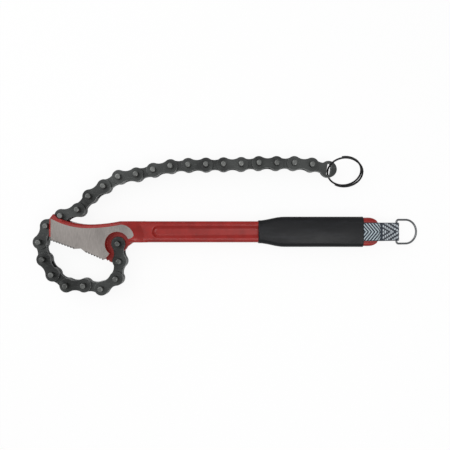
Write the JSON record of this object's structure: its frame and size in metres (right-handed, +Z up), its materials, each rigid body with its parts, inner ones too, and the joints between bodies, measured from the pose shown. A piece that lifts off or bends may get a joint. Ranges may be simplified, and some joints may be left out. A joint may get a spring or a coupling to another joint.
{
  "type": "chain pipe wrench",
  "caption": "Chain pipe wrench with a forged toothed jaw and handle, a bush chain hooked over the nose, a sleeved butt and a tether strap with rings.",
  "frame": {"origin": "axis of the gripped pipe, on the plane that the wrench lies on", "axes": "+X along the handle towards the butt, +Y towards the tail of the chain, +Z up along the pins and the pipe"},
  "size_m": [0.4209, 0.1506, 0.025],
  "materials": {
    "red_paint": "semi-gloss",
    "black_sleeve": "satin",
    "webbing": "woven",
    "thread": "sewn",
    "ring_steel": "satin",
    "ring_black": "black oxide",
    "outer_plate_steel": "black oxide",
    "inner_plate_steel": "black oxide",
    "pin_steel": "worn",
    "bush_steel": "black oxide"
  },
  "bodies": {
    "handle": {"handle": "red_paint", "sleeve": "black_sleeve", "tether_strap": "webbing", "strap_stitching": "thread"},
    "link_01": {"outer_plates_01": "outer_plate_steel", "pins_01": "pin_steel"},
    "link_02": {"inner_plates_01": "inner_plate_steel", "bushes_01": "bush_steel"},
    "link_03": {"outer_plates_02": "outer_plate_steel", "pins_02": "pin_steel"},
    "link_04": {"inner_plates_02": "inner_plate_steel", "bushes_02": "bush_steel"},
    "link_05": {"outer_plates_03": "outer_plate_steel", "pins_03": "pin_steel"},
    "link_06": {"inner_plates_03": "inner_plate_steel", "bushes_03": "bush_steel"},
    "link_07": {"outer_plates_04": "outer_plate_steel", "pins_04": "pin_steel"},
    "link_08": {"inner_plates_04": "inner_plate_steel", "bushes_04": "bush_steel"},
    "link_09": {"outer_plates_05": "outer_plate_steel", "pins_05": "pin_steel"},
    "link_10": {"inner_plates_05": "inner_plate_steel", "bushes_05": "bush_steel"},
    "link_11": {"outer_plates_06": "outer_plate_steel", "pins_06": "pin_steel"},
    "link_12": {"inner_plates_06": "inner_plate_steel", "bushes_06": "bush_steel"},
    "link_13": {"outer_plates_07": "outer_plate_steel", "pins_07": "pin_steel"},
    "link_14": {"inner_plates_07": "inner_plate_steel", "bushes_07": "bush_steel"},
    "link_15": {"outer_plates_08": "outer_plate_steel", "pins_08": "pin_steel"},
    "link_16": {"inner_plates_08": "inner_plate_steel", "bushes_08": "bush_steel"},
    "link_17": {"outer_plates_09": "outer_plate_steel", "pins_09": "pin_steel"},
    "link_18": {"inner_plates_09": "inner_plate_steel", "bushes_09": "bush_steel"},
    "link_19": {"outer_plates_10": "outer_plate_steel", "pins_10": "pin_steel"},
    "link_20": {"inner_plates_10": "inner_plate_steel", "bushes_10": "bush_steel"},
    "link_21": {"outer_plates_11": "outer_plate_steel", "pins_11": "pin_steel"},
    "link_22": {"inner_plates_11": "inner_plate_steel", "bushes_11": "bush_steel"},
    "link_23": {"outer_plates_12": "outer_plate_steel", "pins_12": "pin_steel"},
    "link_24": {"inner_plates_12": "inner_plate_steel", "bushes_12": "bush_steel"},
    "link_25": {"outer_plates_13": "outer_plate_steel", "pins_13": "pin_steel"},
    "link_26": {"inner_plates_13": "inner_plate_steel", "bushes_13": "bush_steel"},
    "split_ring": {"split_ring": "ring_black"},
    "d_ring": {"d_ring": "ring_steel"}
  },
  "joints": [
    {"name": "chain_hinge_01", "type": "hinge", "parent": "handle", "child": "link_01", "pos_m": [0.041, 0.024, 0.0125], "axis": [0, 0, 1], "range_deg": [0, 15.01]},
    {"name": "chain_hinge_02", "type": "hinge", "parent": "link_01", "child": "link_02", "pos_m": [0.04233, 0.005, 0.0125], "axis": [0, 0, -1], "range_deg": [0, 30]},
    {"name": "chain_hinge_03", "type": "hinge", "parent": "link_02", "child": "link_03", "pos_m": [0.03869, -0.0137, 0.0125], "axis": [0, 0, 1], "range_deg": [0, 7.51]},
    {"name": "chain_hinge_04", "type": "hinge", "parent": "link_03", "child": "link_04", "pos_m": [0.0229, -0.02436, 0.0125], "axis": [0, 0, 1], "range_deg": [0, 7.51]},
    {"name": "chain_hinge_05", "type": "hinge", "parent": "link_04", "child": "link_05", "pos_m": [0.00414, -0.02105, 0.0125], "axis": [0, 0, -1], "range_deg": [0, 14]},
    {"name": "chain_hinge_06", "type": "hinge", "parent": "link_05", "child": "link_06", "pos_m": [-0.01491, -0.02105, 0.0125], "axis": [0, 0, 1], "range_deg": [0, 14.01]},
    {"name": "chain_hinge_07", "type": "hinge", "parent": "link_06", "child": "link_07", "pos_m": [-0.02992, -0.00932, 0.0125], "axis": [0, 0, -1], "range_deg": [0, 12.01]},
    {"name": "chain_hinge_08", "type": "hinge", "parent": "link_07", "child": "link_08", "pos_m": [-0.03973, 0.00701, 0.0125], "axis": [0, 0, 1], "range_deg": [0, 24]},
    {"name": "chain_hinge_09", "type": "hinge", "parent": "link_08", "child": "link_09", "pos_m": [-0.04369, 0.02564, 0.0125], "axis": [0, 0, -1], "range_deg": [0, 12.01]},
    {"name": "chain_hinge_10", "type": "hinge", "parent": "link_09", "child": "link_10", "pos_m": [-0.03594, 0.04305, 0.0125], "axis": [0, 0, 1], "range_deg": [0, 90]},
    {"name": "chain_hinge_11", "type": "hinge", "parent": "link_10", "child": "link_11", "pos_m": [-0.02034, 0.05397, 0.0125], "axis": [0, 0, -1], "range_deg": [-50, 5]},
    {"name": "chain_hinge_12", "type": "hinge", "parent": "link_11", "child": "link_12", "pos_m": [-0.00244, 0.06049, 0.0125], "axis": [0, 0, 1], "range_deg": [-5, 50]},
    {"name": "chain_hinge_13", "type": "hinge", "parent": "link_12", "child": "link_13", "pos_m": [0.00981, 0.07508, 0.0125], "axis": [0, 0, 1], "range_deg": [-5, 50]},
    {"name": "chain_hinge_14", "type": "hinge", "parent": "link_13", "child": "link_14", "pos_m": [0.02541, 0.08601, 0.0125], "axis": [0, 0, -1], "range_deg": [-50, 6]},
    {"name": "chain_hinge_15", "type": "hinge", "parent": "link_14", "child": "link_15", "pos_m": [0.04157, 0.0961, 0.0125], "axis": [0, 0, 1], "range_deg": [-6, 50]},
    {"name": "chain_hinge_16", "type": "hinge", "parent": "link_15", "child": "link_16", "pos_m": [0.06043, 0.09875, 0.0125], "axis": [0, 0, -1], "range_deg": [-50, 7]},
    {"name": "chain_hinge_17", "type": "hinge", "parent": "link_16", "child": "link_17", "pos_m": [0.07883, 0.10368, 0.0125], "axis": [0, 0, 1], "range_deg": [-7, 50]},
    {"name": "chain_hinge_18", "type": "hinge", "parent": "link_17", "child": "link_18", "pos_m": [0.09746, 0.10765, 0.0125], "axis": [0, 0, 1], "range_deg": [-8, 50]},
    {"name": "chain_hinge_19", "type": "hinge", "parent": "link_18", "child": "link_19", "pos_m": [0.11647, 0.10897, 0.0125], "axis": [0, 0, -1], "range_deg": [-50, 9]},
    {"name": "chain_hinge_20", "type": "hinge", "parent": "link_19", "child": "link_20", "pos_m": [0.13552, 0.10931, 0.0125], "axis": [0, 0, -1], "range_deg": [-50, 10]},
    {"name": "chain_hinge_21", "type": "hinge", "parent": "link_20", "child": "link_21", "pos_m": [0.15456, 0.10964, 0.0125], "axis": [0, 0, -1], "range_deg": [-50, 12]},
    {"name": "chain_hinge_22", "type": "hinge", "parent": "link_21", "child": "link_22", "pos_m": [0.17361, 0.10997, 0.0125], "axis": [0, 0, -1], "range_deg": [-50, 14]},
    {"name": "chain_hinge_23", "type": "hinge", "parent": "link_22", "child": "link_23", "pos_m": [0.19263, 0.11097, 0.0125], "axis": [0, 0, 1], "range_deg": [-16, 50]},
    {"name": "chain_hinge_24", "type": "hinge", "parent": "link_23", "child": "link_24", "pos_m": [0.21168, 0.11097, 0.0125], "axis": [0, 0, -1], "range_deg": [-50, 22]},
    {"name": "chain_hinge_25", "type": "hinge", "parent": "link_24", "child": "link_25", "pos_m": [0.23073, 0.11097, 0.0125], "axis": [0, 0, 1], "range_deg": [-32, 50]},
    {"name": "chain_hinge_26", "type": "hinge", "parent": "link_25", "child": "link_26", "pos_m": [0.24971, 0.10931, 0.0125], "axis": [0, 0, 1], "range_deg": [-62, 50]},
    {"name": "split_ring_swing", "type": "hinge", "parent": "link_26", "child": "split_ring", "pos_m": [0.2682, 0.1047, 0.0125], "axis": [0.9903, -0.1392, 0], "range_deg": [0, 100]},
    {"name": "d_ring_swing", "type": "hinge", "parent": "handle", "child": "d_ring", "pos_m": [0.3448, 0.03685, 0.007], "axis": [0, -1, 0], "range_deg": [-60, 140]}
  ],
  "couplings": [
    {"joint": "chain_hinge_01", "follows": "chain_hinge_02", "ratio": 0.5},
    {"joint": "chain_hinge_03", "follows": "chain_hinge_02", "ratio": 0.25},
    {"joint": "chain_hinge_04", "follows": "chain_hinge_02", "ratio": 0.25},
    {"joint": "chain_hinge_06", "follows": "chain_hinge_05", "ratio": 1},
    {"joint": "chain_hinge_07", "follows": "chain_hinge_08", "ratio": 0.5},
    {"joint": "chain_hinge_09", "follows": "chain_hinge_08", "ratio": 0.5}
  ]
}
